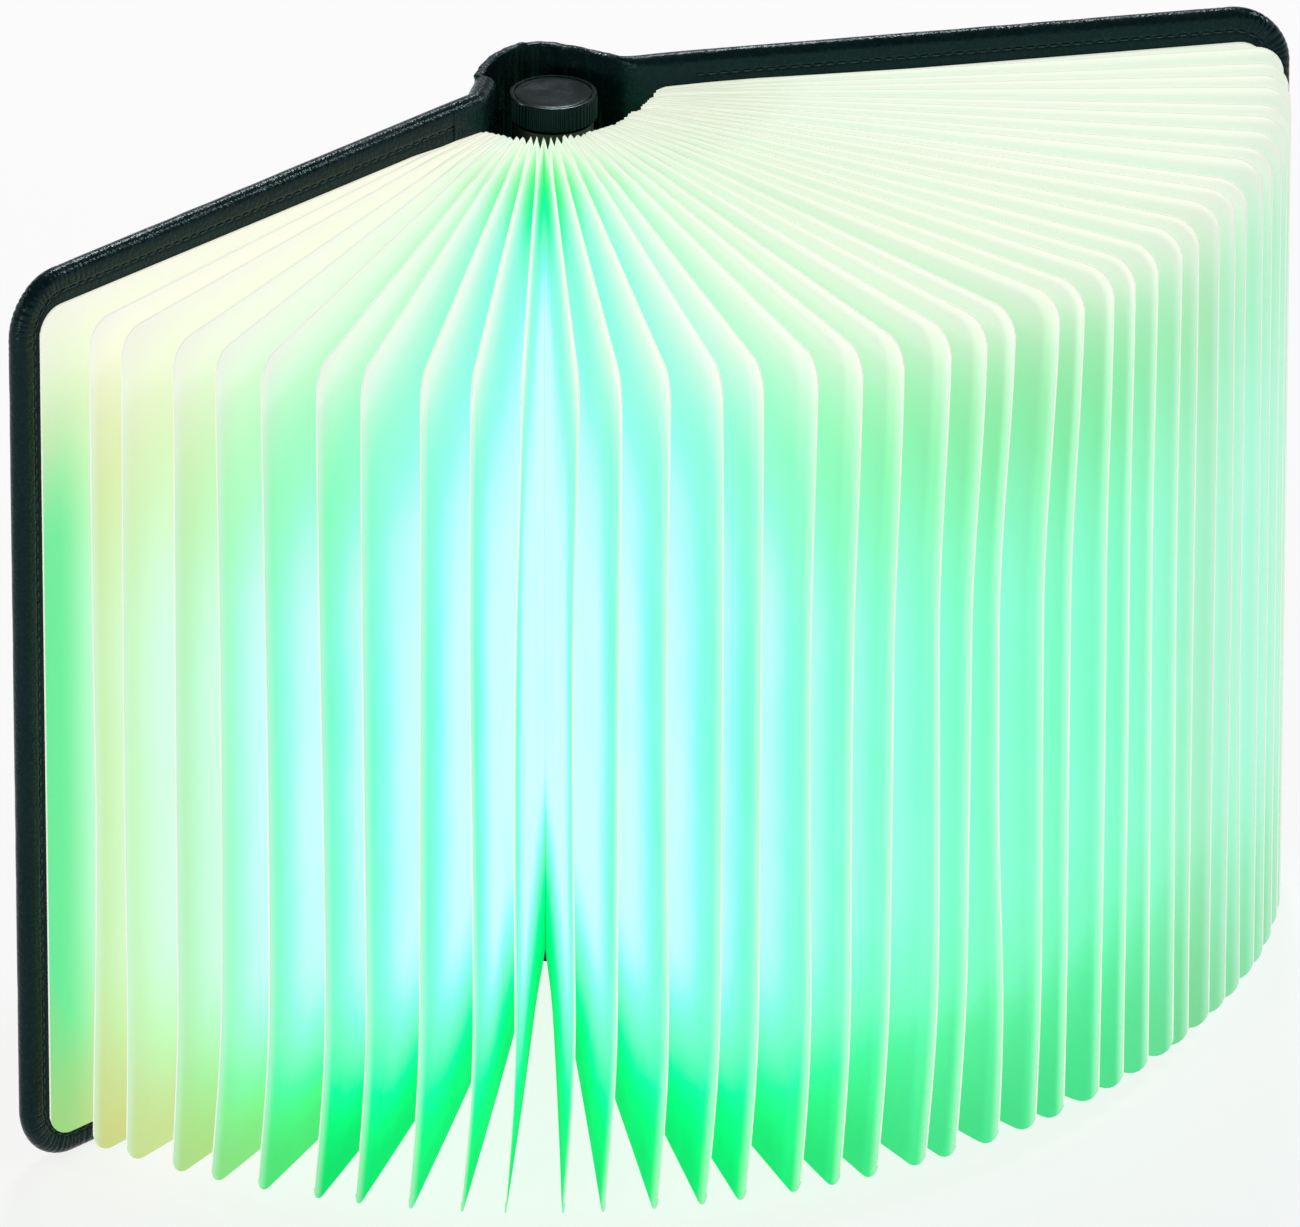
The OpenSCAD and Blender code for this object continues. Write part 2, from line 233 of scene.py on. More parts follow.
class Graph:
    """Adds nodes to a tree and links them, so that a formula reads as one."""

    def __init__(self, tree):
        self.tree = tree

    @classmethod
    def emptied(cls, owner):
        """The graph of a material or world whose standard nodes are removed."""
        owner.use_nodes = True
        owner.node_tree.nodes.clear()
        return cls(owner.node_tree)

    def finish(self, kind, shader):
        """Links a shader to an output node of the given kind."""
        self.add(kind, {"Surface": shader})

    def plug(self, socket, value):
        if isinstance(value, bpy.types.NodeSocket):
            self.tree.links.new(value, socket)
        elif socket.type in ("VECTOR", "RGBA"):
            socket.default_value = value[:len(socket.default_value)]
        else:
            socket.default_value = value

    def add(self, kind, inputs=None, **settings):
        node = self.tree.nodes.new(kind)
        for name, value in settings.items():
            setattr(node, name, value)
        for key, value in (inputs or {}).items():
            self.plug(node.inputs[key], value)
        return node

    def math(self, operation, *values, clamp=False):
        node = self.add("ShaderNodeMath", dict(enumerate(values)), operation=operation)
        node.use_clamp = clamp
        return node.outputs[0]

    def plus(self, a, b):
        return self.math("ADD", a, b)

    def times(self, a, b):
        return self.math("MULTIPLY", a, b)

    def smooth(self, value, low, high, start=0.0, end=1.0):
        """Goes smoothly from start to end as value goes from low to high."""
        node = self.add("ShaderNodeMapRange", interpolation_type="SMOOTHSTEP")
        for key, given in zip(("Value", "From Min", "From Max", "To Min", "To Max"),
                              (value, low, high, start, end)):
            self.plug(node.inputs[key], given)
        return node.outputs["Result"]

    def mix(self, factor, a, b, blend="MIX"):
        node = self.add("ShaderNodeMix", data_type="RGBA", blend_type=blend)
        for index, value in ((0, factor), (6, a), (7, b)):
            self.plug(node.inputs[index], value)
        return node.outputs[2]

    def ramp(self, factor, *stops):
        node = self.add("ShaderNodeValToRGB", {"Fac": factor})
        elements = node.color_ramp.elements
        while len(elements) < len(stops):
            elements.new(1.0)
        for element, (place, shade) in zip(elements, stops):
            element.position = place
            element.color = shade
        return node.outputs["Color"]

    def noise(self, vector, scale, detail=3.0, roughness=0.5, distortion=0.0):
        node = self.add("ShaderNodeTexNoise", {
            "Vector": vector, "Scale": scale, "Detail": detail,
            "Roughness": roughness, "Distortion": distortion})
        return node.outputs["Fac"]

    def object_coordinates(self, scale=(1, 1, 1)):
        where = self.add("ShaderNodeTexCoord").outputs["Object"]
        return self.add("ShaderNodeMapping", {"Vector": where, "Scale": scale}).outputs[0]

    def bump(self, height, strength, distance):
        node = self.add("ShaderNodeBump", {
            "Height": height, "Strength": strength, "Distance": distance})
        return node.outputs["Normal"]


def shared_effect(**inputs):
    """Turns a function that gives labelled numbers into a shader node group, made once.

    inputs are the group's input numbers with their defaults.
    """
    def wrap(fill):
        def found():
            name = fill.__name__.replace("_", " ")
            tree = bpy.data.node_groups.get(name)
            if tree:
                return tree
            tree = bpy.data.node_groups.new(name, "ShaderNodeTree")
            for label, value in inputs.items():
                socket = tree.interface.new_socket(name=label, in_out="INPUT",
                                                   socket_type="NodeSocketFloat")
                socket.default_value = value
            graph = Graph(tree)
            given = graph.add("NodeGroupInput").outputs
            results = fill(graph, *(given[label] for label in inputs))
            for label in results:
                tree.interface.new_socket(name=label, in_out="OUTPUT", socket_type="NodeSocketFloat")
            graph.add("NodeGroupOutput", results)
            return tree
        return found
    return wrap


@shared_effect(Pebble=900.0, Fine=4200.0)
def leather_grain(graph, pebble, fine_scale):
    """Pebbled leather grain: a height and a mask that is 1 on the pebbles' tops."""
    where = graph.object_coordinates()
    warp = graph.add("ShaderNodeVectorMath", {
        0: graph.add("ShaderNodeTexNoise", {"Vector": where, "Scale": 320.0}).outputs["Color"],
        "Scale": 0.0012}, operation="SCALE")
    bent = graph.add("ShaderNodeVectorMath", {0: where, 1: warp.outputs[0]}, operation="ADD")
    cells = graph.add("ShaderNodeTexVoronoi", {"Vector": bent.outputs[0], "Scale": pebble},
                      feature="F1")
    pebbles = graph.smooth(cells.outputs["Distance"], 0.75, 0.1)
    fine = graph.noise(where, fine_scale, 4.0, 0.6)
    return {"Height": graph.plus(pebbles, graph.times(fine, 0.35)), "Tops": pebbles}


@shared_effect(Scale=700.0)
def paper_fibre(graph, scale):
    """Paper fibre: a height, and a mottle that varies round one half."""
    fibres = graph.noise(graph.object_coordinates((1.0, 1.0, 0.35)), scale, 5.0, 0.65, 0.8)
    cloud = graph.noise(graph.object_coordinates(), graph.times(scale, 0.06), 3.0, 0.55)
    return {"Height": fibres, "Mottle": cloud}


@shared_effect(Scale=2600.0)
def moulded_surface(graph, scale):
    """Moulded plastic: a fine spark-eroded height and a slow roughness mask."""
    where = graph.object_coordinates()
    return {"Height": graph.noise(where, scale, 4.0, 0.6),
            "Wear": graph.noise(where, 140.0, 4.0, 0.6, 0.4)}


@shared_effect(Scale=1500.0)
def brushed_metal(graph, scale):
    """Brushed metal: lines that run up the piece, as a height and a streak mask."""
    lines = graph.noise(graph.object_coordinates((1.0, 1.0, 0.06)), scale, 3.0, 0.6)
    return {"Height": lines, "Streak": graph.smooth(lines, 0.3, 0.7)}


# Tint of the reflections on the black pieces, and the usual height of a bump in metres.
BLACK_SHEEN = srgb(172, 222, 228)
FINE_RELIEF = 0.0001


class Finish:
    """A material with one Principled shader and the graph that feeds it."""

    def __init__(self, name, roughness, metallic=0.0, specular=0.5):
        self.material = bpy.data.materials.new(name)
        self.graph = Graph.emptied(self.material)
        self.shader = self.graph.add("ShaderNodeBsdfPrincipled", {
            "Roughness": roughness, "Metallic": metallic, "Specular IOR Level": specular})
        self.graph.finish("ShaderNodeOutputMaterial", self.shader.outputs[0])

    def set(self, **values):
        for name, value in values.items():
            self.graph.plug(self.shader.inputs[name.replace("_", " ")], value)
        return self

    def effect(self, shared, **inputs):
        return self.graph.add("ShaderNodeGroup", inputs, node_tree=shared()).outputs


def finish_once(make):
    """Makes a material the first time and finds it again afterwards.

    The name's start keeps it apart from the CAD model's own materials.
    """
    def found(*given):
        name = "dressed_" + make.__name__
        return bpy.data.materials.get(name) or make(name, *given)
    return found


@finish_once
def lit_paper(name, paper, reach):
    """Translucent paper with the core's light painted in: the painted glow depends on depth, height and place."""
    finish = Finish(name, 0.85, specular=0.2)
    g = finish.graph
    leaf_uv = g.add("ShaderNodeSeparateXYZ", {0: g.add("ShaderNodeUVMap", uv_map="leaf").outputs[0]})
    height = leaf_uv.outputs["Y"]
    depth = g.times(leaf_uv.outputs["X"], reach / MM)
    place, glow_depth, from_top, tone = (
        g.add("ShaderNodeAttribute", attribute_name=label).outputs["Fac"]
        for label in ("leaf_place", "glow_depth", "from_top", "leaf_tone"))
    from_top = g.times(from_top, 1 / MM)
    fibre = finish.effect(paper_fibre, Scale=650.0)

    # Painted light: the core's glow through the paper, set by depth from the outer fold, height and place in the
    # fan. The upper leaves get a paler painted wash, and the left end sheet has a painted glow of its own.
    fold = g.math("DIVIDE", depth, glow_depth)
    rightness = g.smooth(place, -0.3, 0.0)
    farness = g.smooth(place, 0.16, 0.5)
    leftness = g.smooth(place, -0.7, -0.92)
    centred = g.smooth(g.math("ABSOLUTE", g.plus(place, 0.46)), 0.3, 0.12)
    middle = g.smooth(centred, 0.0, 1.0, 0.64, 0.74)
    foot = g.smooth(height, 0.02, g.smooth(rightness, 0.0, 1.0, 0.27, 0.34))
    head = g.smooth(height, 0.985, middle)
    inward = g.smooth(fold, 0.0, 1.0, 0.52, 1.0)
    glow = g.times(g.times(foot, head), inward)
    glow = g.plus(glow, g.smooth(fibre["Mottle"], 0.3, 0.7, -0.035, 0.035))

    inner = g.ramp(glow, (0.0, paper.foot), (0.14, paper.green), (0.3, paper.teal),
                   (0.5, paper.mint), (0.75, paper.cyan), (1.0, paper.bright))
    right = g.ramp(glow, (0.0, paper.right_foot), (0.3, paper.right_low), (0.5, paper.right_mid),
                   (1.0, paper.right_bright))
    far = g.ramp(glow, (0.0, paper.far_foot), (0.5, paper.far_mid), (1.0, paper.far_bright))
    left = g.ramp(glow, (0.0, paper.left_foot), (0.5, paper.left_mid), (1.0, paper.left_bright))

    def by_place(middle_shade, left_shade, right_shade, far_shade):
        near = g.mix(rightness, g.mix(leftness, middle_shade, left_shade), right_shade)
        return g.mix(farness, near, far_shade)

    lit = by_place(inner, left, right, far)
    washed = g.times(g.smooth(height, 0.58, 0.92), g.smooth(depth, 130.0, 98.0, 0.0, 0.86))
    wash = g.mix(centred, paper.wash, paper.centre_wash)
    lit = g.mix(washed, lit, by_place(wash, paper.left_wash, paper.right_wash, paper.far_wash))
    lit = g.mix(g.times(tone, 0.4), lit, g.mix(1.0, lit, paper.beige, "MULTIPLY"))
    end_shade = g.ramp(glow, (0.0, paper.end_foot), (0.45, paper.end_mid), (1.0, paper.end_mid))
    end_shade = g.mix(g.smooth(height, 0.7, 0.9), end_shade, paper.end_top)
    endness = g.smooth(place, -0.965, -0.985)
    lit = g.mix(g.times(endness, g.smooth(depth, 20.0, 4.0, 0.15, 1.0)), lit, end_shade)

    # Painted light: near its cut top the paper is painted cream, standing in for the light from above and the
    # core's weaker light there. The band is wider towards the outer fold and by the left cover.
    top_reach = g.times(g.smooth(depth, 35.0, 115.0, 12.0, 5.0),
                        g.smooth(leftness, 0.0, 1.0, 1.0, 1.8))
    sinking = g.math("POWER", g.math("DIVIDE", from_top, top_reach), 1.3)
    painted_top_light = g.math("EXPONENT", g.times(sinking, -1.0))
    # Painted highlight: the paper next to the outer fold is painted paler, except on the left end sheet.
    crest_highlight_mask = g.times(g.smooth(fold, 0.02, 0.22, 0.55, 0.0), g.smooth(endness, 1.0, 0.0))
    shade = g.mix(crest_highlight_mask, lit, paper.crest)
    shade = g.mix(g.times(painted_top_light, 0.95), shade, paper.cream)
    # Painted shade and highlight: a thin line in the edge colour just under the cut top and just inside the outer
    # fold, and the fold's own round painted in the pale fold colour.
    shade = g.mix(g.times(g.smooth(from_top, 0.34, 0.2, 0.0, 0.5), g.smooth(from_top, 0.02, 0.08)),
                  shade, paper.edge)
    shade = g.mix(g.smooth(depth, 0.42, 0.3, 0.0, 0.35), shade, paper.edge)
    shade = g.mix(g.smooth(depth, 0.3, 0.18), shade, paper.fold)
    finish.set(Base_Color=g.mix(1.0, shade, (0.5, 0.5, 0.5, 1.0), "MULTIPLY"), Emission_Color=shade,
               Emission_Strength=paper.emission, Normal=g.bump(fibre["Height"], 0.12, FINE_RELIEF))
    return finish.material


@finish_once
def leatherette(name):
    finish = Finish(name, 0.3, specular=0.2)
    g = finish.graph
    grain = finish.effect(leather_grain, Pebble=1100.0)
    patches = g.noise(g.object_coordinates(), 60.0, 4.0, 0.6)
    shade = g.mix(patches, srgb(6, 21, 22), srgb(14, 34, 35))
    shade = g.mix(g.times(grain["Tops"], 0.3), shade, srgb(26, 52, 54))
    rough = g.plus(g.smooth(patches, 0.3, 0.7, 0.22, 0.34), g.times(grain["Tops"], -0.05))
    wrinkles = g.noise(g.object_coordinates((1.0, 1.0, 0.5)), 230.0, 5.0, 0.62, 0.6)
    relief = g.plus(grain["Height"], g.times(wrinkles, 2.2))
    finish.set(Base_Color=shade, Roughness=rough, Specular_Tint=BLACK_SHEEN,
               Normal=g.bump(relief, 0.8, 0.00006))
    return finish.material


@finish_once
def thread(name):
    finish = Finish(name, 0.6, specular=0.3)
    g = finish.graph
    twist = g.add("ShaderNodeTexWave", {"Vector": g.object_coordinates(), "Scale": 900.0})
    finish.set(Base_Color=g.mix(twist.outputs["Fac"], srgb(20, 34, 36), srgb(62, 80, 84)),
               Normal=g.bump(twist.outputs["Fac"], 0.4, FINE_RELIEF))
    return finish.material


@finish_once
def gloss_black(name):
    finish = Finish(name, 0.25, specular=0.2)
    g = finish.graph
    mould = finish.effect(moulded_surface, Scale=1800.0)
    smears = g.smooth(mould["Wear"], 0.35, 0.8)
    finish.set(Base_Color=g.mix(smears, srgb(3, 17, 19), srgb(8, 27, 29)),
               Roughness=g.smooth(smears, 0.0, 1.0, 0.22, 0.32), Specular_Tint=BLACK_SHEEN,
               Normal=g.bump(mould["Height"], 0.08, FINE_RELIEF))
    return finish.material


def moulded(name, dark, light, roughness, scale=2600.0):
    finish = Finish(name, roughness)
    g = finish.graph
    mould = finish.effect(moulded_surface, Scale=scale)
    finish.set(Base_Color=g.mix(mould["Wear"], dark, light),
               Roughness=g.smooth(mould["Wear"], 0.3, 0.7, roughness - 0.08, roughness + 0.08),
               Normal=g.bump(mould["Height"], 0.2, FINE_RELIEF))
    return finish.material


def brushed(name, dark, light, roughness):
    finish = Finish(name, roughness, metallic=1.0)
    g = finish.graph
    brush = finish.effect(brushed_metal)
    finish.set(Base_Color=g.mix(brush["Streak"], dark, light),
               Roughness=g.smooth(brush["Streak"], 0.0, 1.0, roughness, roughness + 0.12),
               Normal=g.bump(brush["Height"], 0.1, FINE_RELIEF))
    return finish.material


def glowing(name, dim, bright, strength):
    finish = Finish(name, 0.5)
    g = finish.graph
    mould = finish.effect(moulded_surface, Scale=900.0)
    shade = g.mix(g.smooth(mould["Wear"], 0.3, 0.7), dim, bright)
    finish.set(Base_Color=shade, Emission_Color=shade, Emission_Strength=strength,
               Normal=g.bump(mould["Height"], 0.1, FINE_RELIEF))
    return finish.material


@finish_once
def lit_diffuser(name):
    """The frosted front of the core, with its glow painted into its emission and half of it into its base colour:
    bright in its middle and green towards its two ends.
    """
    finish = Finish(name, 0.5)
    g = finish.graph
    mould = finish.effect(moulded_surface, Scale=900.0)
    up = g.add("ShaderNodeSeparateXYZ", {0: g.object_coordinates()}).outputs["Z"]
    lit = g.times(g.smooth(up, 0.195, 0.12), g.smooth(up, 0.01, 0.06))
    shade = g.ramp(lit, (0.0, srgb(0, 70, 30)), (0.3, srgb(0, 215, 90)), (0.7, srgb(60, 245, 200)),
                   (1.0, srgb(130, 250, 244)))
    finish.set(Base_Color=g.mix(0.5, shade, srgb(20, 60, 45)), Emission_Color=shade,
               Emission_Strength=0.8, Normal=g.bump(mould["Height"], 0.1, FINE_RELIEF))
    return finish.material


def circuit(name, mask, track):
    """A circuit board: the mask's colour with a net of tracks under it."""
    finish = Finish(name, 0.35)
    g = finish.graph
    tracks = g.add("ShaderNodeTexBrick", {
        "Vector": g.object_coordinates((260.0, 260.0, 260.0)), "Color1": mask, "Color2": mask,
        "Mortar": track, "Mortar Size": 0.05, "Scale": 1.0})
    finish.set(Base_Color=tracks.outputs["Color"],
               Normal=g.bump(tracks.outputs["Fac"], 0.3, FINE_RELIEF))
    return finish.material


@finish_once
def greyboard(name):
    finish = Finish(name, 0.9, specular=0.2)
    g = finish.graph
    fibre = finish.effect(paper_fibre, Scale=420.0)
    finish.set(Base_Color=g.mix(fibre["Mottle"], srgb(150, 138, 118), srgb(182, 170, 148)),
               Normal=g.bump(fibre["Height"], 0.4, 0.0002))
    return finish.material


# Meshes

def add_object(name, mesh):
    piece = bpy.data.objects.new(name, mesh)
    bpy.context.scene.collection.objects.link(piece)
    return piece


def weld(mesh, distance, sharp):
    """Merges doubles, turns normals outwards and smooths all but edges past an angle."""
    work = bmesh.new()
    work.from_mesh(mesh)
    bmesh.ops.remove_doubles(work, verts=work.verts, dist=distance)
    bmesh.ops.recalc_face_normals(work, faces=work.faces)
    work.to_mesh(mesh)
    work.free()
    mesh.polygons.foreach_set("use_smooth", [True] * len(mesh.polygons))
    mesh.set_sharp_from_angle(angle=math.radians(sharp))


def shell(name, points, faces, material, sharp):
    """A closed smooth mesh object with sharp edges past an angle."""
    mesh = bpy.data.meshes.new(name)
    mesh.from_pydata(points, [], faces)
    weld(mesh, 2e-6, sharp)
    mesh.materials.append(material)
    return add_object(name, mesh)


def ring_faces(rings, count, closed_ends=False):
    """Quads between rings of count points each, with end caps where they are asked for."""
    faces = []
    for ring in range(rings - 1):
        for i in range(count):
            j = (i + 1) % count
            faces.append((ring * count + i, ring * count + j,
                          (ring + 1) * count + j, (ring + 1) * count + i))
    if closed_ends:
        faces.append(tuple(range(count - 1, -1, -1)))
        faces.append(tuple(range((rings - 1) * count, rings * count)))
    return faces


class Swing:
    """An upright axis and the way its piece points: reach runs out from it and side runs across."""

    def __init__(self, joint, mirror=1):
        self.pivot = Vector(JOINTS[joint]["pos_m"])
        self.turn = RATIOS.get(joint, 1) * HALF_ANGLE
        self.side = Vector((math.cos(self.turn), math.sin(self.turn), 0)) * mirror
        self.reach = Vector((math.sin(self.turn), -math.cos(self.turn), 0))

    def point(self, across, along, up):
        return self.pivot + self.side * across + self.reach * along + Vector((0, 0, up))

    def span(self, node):
        """Lowest and highest across, along and up of a CAD node."""
        found = [(v.co - self.pivot) for v in frame["nodes"][node].data.vertices]
        rows = [(p.dot(self.side), p.dot(self.reach), p.z) for p in found]
        return [(min(values), max(values)) for values in zip(*rows)]


def cover_swing(side):
    return Swing(side + "_cover_open", SIDES[side])


# Geometry Nodes

def geometry_tree(name, numbers, **others):
    """A Geometry Nodes tree with a graph, and its input and output nodes.

    numbers are the labels of its numbers. others are further inputs with their kinds.
    """
    kinds = {"Geometry": "Geometry", **{label: "Float" for label in numbers}, **others,
             "Material": "Material"}
    tree = bpy.data.node_groups.new(name, "GeometryNodeTree")
    for label, kind in kinds.items():
        tree.interface.new_socket(name=label, in_out="INPUT", socket_type="NodeSocket" + kind)
    tree.interface.new_socket(name="Geometry", in_out="OUTPUT", socket_type="NodeSocketGeometry")
    graph = Graph(tree)
    return tree, graph, graph.add("NodeGroupInput"), graph.add("NodeGroupOutput")


def end_tree(graph, given, result, geometry):
    whole = graph.add("GeometryNodeRealizeInstances", {"Geometry": geometry})
    painted = graph.add("GeometryNodeSetMaterial", {
        "Geometry": whole.outputs[0], "Material": given.outputs["Material"]})
    graph.plug(result.inputs[0], painted.outputs[0])


def grown(name, start, tree, values):
    """Runs a Geometry Nodes tree on an object and gives the result as a plain mesh object."""
    modifier = start.modifiers.new("growth", "NODES")
    modifier.node_group = tree
    for item in tree.interface.items_tree:
        if item.in_out == "INPUT" and item.name in values:
            value = values[item.name]
            modifier[item.identifier] = tuple(value) if isinstance(value, Vector) else value
    evaluated = start.evaluated_get(bpy.context.evaluated_depsgraph_get())
    mesh = bpy.data.meshes.new_from_object(evaluated)
    bpy.data.objects.remove(start)
    mesh.name = name
    return add_object(name, mesh)


def leaf_tree():
    """Bows a flat leaf, turns it about its axis and writes what the paper's colour reads."""
    tree, g, given, result = geometry_tree("bowed leaf", (
        "Reach", "Height", "Plane", "Turn", "Place", "Glow Depth", *LEAN_INPUTS), Pivot="Vector")
    value = given.outputs
    at = g.add("ShaderNodeSeparateXYZ", {0: g.add("GeometryNodeInputPosition").outputs[0]}).outputs
    along = g.math("DIVIDE", g.times(at["Y"], -1.0), value["Reach"])
    high = g.math("DIVIDE", at["Z"], value["Height"])
    bend = g.math("POWER", g.math("MAXIMUM", along, 0.0), 1.5)
    top = g.times(value["Top Lean"], g.smooth(high, 0.62, 0.98))
    foot = g.times(value["Foot Lean"], g.math("POWER", g.smooth(high, 0.3, -0.1), 1.4))
    pair = g.times(value["Pair Lean"], g.smooth(high, 0.02, 0.45))
    wave = g.times(value["Wave"], g.math("SINE", g.plus(g.times(high, 5.0), value["Wave Start"])))
    lean = g.plus(g.plus(top, pair), g.math("SUBTRACT", wave, foot))
    sheet = g.math("MINIMUM", g.math("MAXIMUM", at["X"], -SHEET_HALF), SHEET_HALF)
    parted = g.times(g.math("SUBTRACT", at["X"], sheet), value["Parting"])
    across = g.plus(g.plus(g.plus(sheet, parted), value["Plane"]), g.times(bend, lean))
    slope = g.plus(g.smooth(along, 0.22, 0.06), g.smooth(along, 0.093, 0.074, 0.0, 0.9))
    drop = g.times(value["Inner Drop"], g.times(slope, g.smooth(high, 0.8, 0.96)))
    local = g.add("ShaderNodeCombineXYZ", {
        "X": across, "Y": g.times(at["Y"], value["Stretch"]), "Z": g.math("SUBTRACT", at["Z"], drop)})
    turned = g.add("ShaderNodeVectorRotate", {
        "Vector": local.outputs[0], "Angle": value["Turn"]}, rotation_type="Z_AXIS")
    placed = g.add("ShaderNodeVectorMath", {0: turned.outputs[0], 1: value["Pivot"]}, operation="ADD")
    geometry = g.add("GeometryNodeSetPosition", {
        "Geometry": value["Geometry"], "Position": placed.outputs[0]}).outputs[0]
    for label, source in (("leaf_place", "Place"), ("glow_depth", "Glow Depth"), ("leaf_tone", "Tone")):
        geometry = g.add("GeometryNodeStoreNamedAttribute", {
            "Geometry": geometry, "Name": label, "Value": value[source]},
            data_type="FLOAT", domain="POINT").outputs[0]
    end_tree(g, given, result, geometry)
    return tree


def stitch_tree():
    """Lays short thread stitches at an even pitch along a path."""
    tree, g, given, result = geometry_tree("stitches", ("Stitch", "Pitch", "Thread"))
    value = given.outputs
    path = g.add("GeometryNodeMeshToCurve", {"Mesh": value["Geometry"]})
    even = g.add("GeometryNodeResampleCurve", {"Curve": path.outputs[0], "Length": value["Pitch"]},
                 mode="LENGTH")
    bead = g.add("GeometryNodeMeshUVSphere", {"Segments": 8, "Rings": 6, "Radius": 1.0})
    size = g.add("ShaderNodeCombineXYZ", {
        "X": value["Thread"], "Y": value["Thread"], "Z": g.times(value["Stitch"], 0.5)})
    bead = g.add("GeometryNodeTransform", {"Geometry": bead.outputs["Mesh"], "Scale": size.outputs[0]})
    smooth = g.add("GeometryNodeSetShadeSmooth", {"Geometry": bead.outputs[0], "Shade Smooth": True})
    aim = g.add("FunctionNodeAlignRotationToVector", {
        "Vector": g.add("GeometryNodeInputTangent").outputs[0]}, axis="Z")
    laid = g.add("GeometryNodeInstanceOnPoints", {
        "Points": even.outputs[0], "Instance": smooth.outputs[0], "Rotation": aim.outputs[0]})
    end_tree(g, given, result, laid.outputs[0])
    return tree


def rib_tree():
    """Stands rounded ribs at even angles round a knob."""
    tree, g, given, result = geometry_tree("knob ribs", ("Radius", "Bottom", "Height", "Rib"),
                                           Count="Int")
    value = given.outputs
    ring = g.add("GeometryNodeMeshCircle", {"Vertices": value["Count"], "Radius": value["Radius"]})
    rib = g.add("GeometryNodeMeshCylinder", {
        "Vertices": 10, "Side Segments": 1, "Radius": value["Rib"], "Depth": value["Height"]})
    lift = g.add("ShaderNodeCombineXYZ", {
        "Z": g.plus(value["Bottom"], g.times(value["Height"], 0.5))})
    stood = g.add("GeometryNodeTransform", {
        "Geometry": rib.outputs["Mesh"], "Translation": lift.outputs[0]})
    round_it = g.add("GeometryNodeInstanceOnPoints", {
        "Points": ring.outputs[0], "Instance": stood.outputs[0]})
    end_tree(g, given, result, round_it.outputs[0])
    return tree


# Leaves

# Leaves that lie close to a neighbour, with how far they lean towards it in millimetres.
CLOSE_LEAVES = {1: 2.0, 21: -2.8, 31: -2.0}
# Leaves whose paper is more beige than the others', from 0 to 1.
BEIGE_LEAVES = {1: 1.0, 3: 0.6, 6: 0.5, 28: 0.5, 29: 0.7}
# Half of a leaf's thickness where its two sheets lie together.
SHEET_HALF = 0.14 * MM
# The inputs in which one leaf differs from the next, apart from its place and turn.
LEAN_INPUTS = ("Top Lean", "Foot Lean", "Pair Lean", "Wave", "Wave Start", "Inner Drop", "Stretch",
               "Parting", "Tone")


def flat_leaf(leaf, reach, start, bottom, top):
    """A flat leaf of two sheets, joined by a round outer fold, with its sheets parted inside."""
    corner, rows, corner_steps = leaf.corner, leaf.rows, 7
    straight = reach - corner - start
    runs = [start + inside * MM for inside in (0.0, 0.5, 1.1, 2.0, 3.5, 6.0)]
    runs += [start + straight * i / leaf.columns for i in range(1, leaf.columns + 1)]
    runs += [reach - corner + corner * math.sin(math.pi / 2 * i / corner_steps)
             for i in range(1, corner_steps)]
    runs += [reach - SHEET_HALF * (1 - math.sin(a)) for a in (0.0, 0.6, 1.1, math.pi / 2)]

    def half(run):
        nose = max(0.0, run - (reach - SHEET_HALF)) / SHEET_HALF
        parted = leaf.flare * smoothstep(start + leaf.flare_run, start, run)
        return (SHEET_HALF + parted) * math.sqrt(max(0.0, 1 - nose * nose))

    points, uvs, tops, cuts, faces = [], [], [], [], []

    def add_point(across, run, up, from_top):
        points.append((across, -run, up))
        uvs.append((1 - run / reach, up / LAMP_HEIGHT))
        tops.append(from_top)

    for hand in (-1, 1):
        for run in runs:
            rise = max(0.0, run - (reach - corner))
            cut = corner - math.sqrt(max(0.0, corner * corner - rise * rise))
            cuts.append(cut)
            for row in range(rows + 1):
                up = bottom + cut + (top - bottom - 2 * cut) * (row / rows)
                add_point(hand * half(run), run, up, top - cut - up)
    count = rows + 1
    sheet = len(runs) * count
    valley = len(points)
    for run, cut in zip(runs, cuts):
        sunk = leaf.valley * smoothstep(start + leaf.flare_run, start, run)
        add_point(0.0, run, top - cut - sunk, sunk)
    for column in range(len(runs) - 1):
        for row in range(rows):
            a = column * count + row
            quad = (a, a + 1, a + count + 1, a + count)
            faces.append(quad)
            faces.append(tuple(sheet + i for i in reversed(quad)))
        a, low = column * count, valley + column
        faces.append((a, a + count, sheet + a + count, sheet + a))
        a += rows
        faces += [(a, low, low + 1, a + count), (low, sheet + a, sheet + a + count, low + 1)]
    for row in range(rows - 1):
        faces.append((row, sheet + row, sheet + row + 1, row + 1))
    faces.append((rows - 1, sheet + rows - 1, sheet + rows, valley, rows))
    mesh = bpy.data.meshes.new("flat_leaf")
    mesh.from_pydata(points, [], faces)
    layer = mesh.uv_layers.new(name="leaf")
    for loop in mesh.loops:
        layer.data[loop.index].uv = uvs[loop.vertex_index]
    mesh.attributes.new("from_top", "FLOAT", "POINT").data.foreach_set("value", tops)
    weld(mesh, 1e-6, 60)
    return mesh


def leaf_lean(place):
    """How much of the top lean and of the foot lean a leaf has, by its place in the fan."""
    top = math.exp(-((place - 0.03) / 0.2) ** 2) + 0.25 * math.exp(-((place + 0.5) / 0.1) ** 2)
    foot = smoothstep(-0.98, -0.8, place) * smoothstep(0.22, -0.05, place)
    return top, foot


